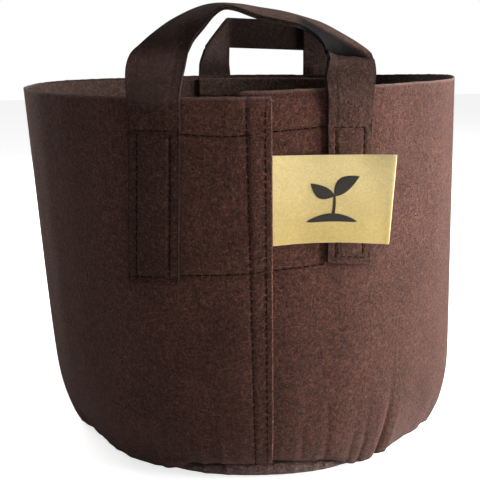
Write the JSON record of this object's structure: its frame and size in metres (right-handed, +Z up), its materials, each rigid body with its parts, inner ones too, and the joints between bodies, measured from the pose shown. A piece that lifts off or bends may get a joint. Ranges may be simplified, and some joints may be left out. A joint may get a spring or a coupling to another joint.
{
  "type": "fabric grow bag",
  "caption": "Round felt grow bag with a sewn-in flat base, a lapped front seam, strap handles that fold at the rim and a cloth side label.",
  "frame": {"origin": "centre of the flat base, on the ground", "axes": "+Z up along the bag's axis; -Y is the front, with the lap seam and the label; +X is to the right seen from the front"},
  "size_m": [0.3048, 0.3099, 0.294],
  "materials": {
    "felt": "matte needle-punched felt, fuzzy",
    "felt_base": "matte needle-punched felt, slightly worn",
    "strap_felt": "matte needle-punched felt, two plies",
    "thread": "dull sewing thread",
    "label_cloth": "matte coated canvas tag",
    "ink": "matte printed ink"
  },
  "bodies": {
    "root": {"wall_panel": "felt", "base_panel": "felt_base", "base_seam_thread": "thread", "lap_seam_thread": "thread", "front_patch": "felt", "front_patch_thread": "thread", "front_handle_legs": "strap_felt", "front_handle_thread": "thread", "rear_patch": "felt", "rear_patch_thread": "thread", "rear_handle_legs": "strap_felt", "rear_handle_thread": "thread", "label_tab": "label_cloth"},
    "front_handle": {"front_handle_loop": "strap_felt"},
    "rear_handle": {"rear_handle_loop": "strap_felt"},
    "label": {"label_flap": "label_cloth", "label_print": "ink"}
  },
  "joints": [
    {"name": "front_handle_fold", "type": "hinge", "parent": "root", "child": "front_handle", "pos_m": [0, -0.145, 0.255], "axis": [1, 0, 0], "range_deg": [-100, 135], "stiffness_Nm_per_rad": 0.02},
    {"name": "rear_handle_fold", "type": "hinge", "parent": "root", "child": "rear_handle", "pos_m": [0.01365, 0.14436, 0.255], "axis": [-0.9956, 0.0941, 0], "range_deg": [-100, 120], "stiffness_Nm_per_rad": 0.02},
    {"name": "label_flip", "type": "hinge", "parent": "root", "child": "label", "pos_m": [0.013, -0.15083, 0.1825], "axis": [0, 0.0246, -0.9997], "range_deg": [0, 120], "stiffness_Nm_per_rad": 0.002}
  ]
}
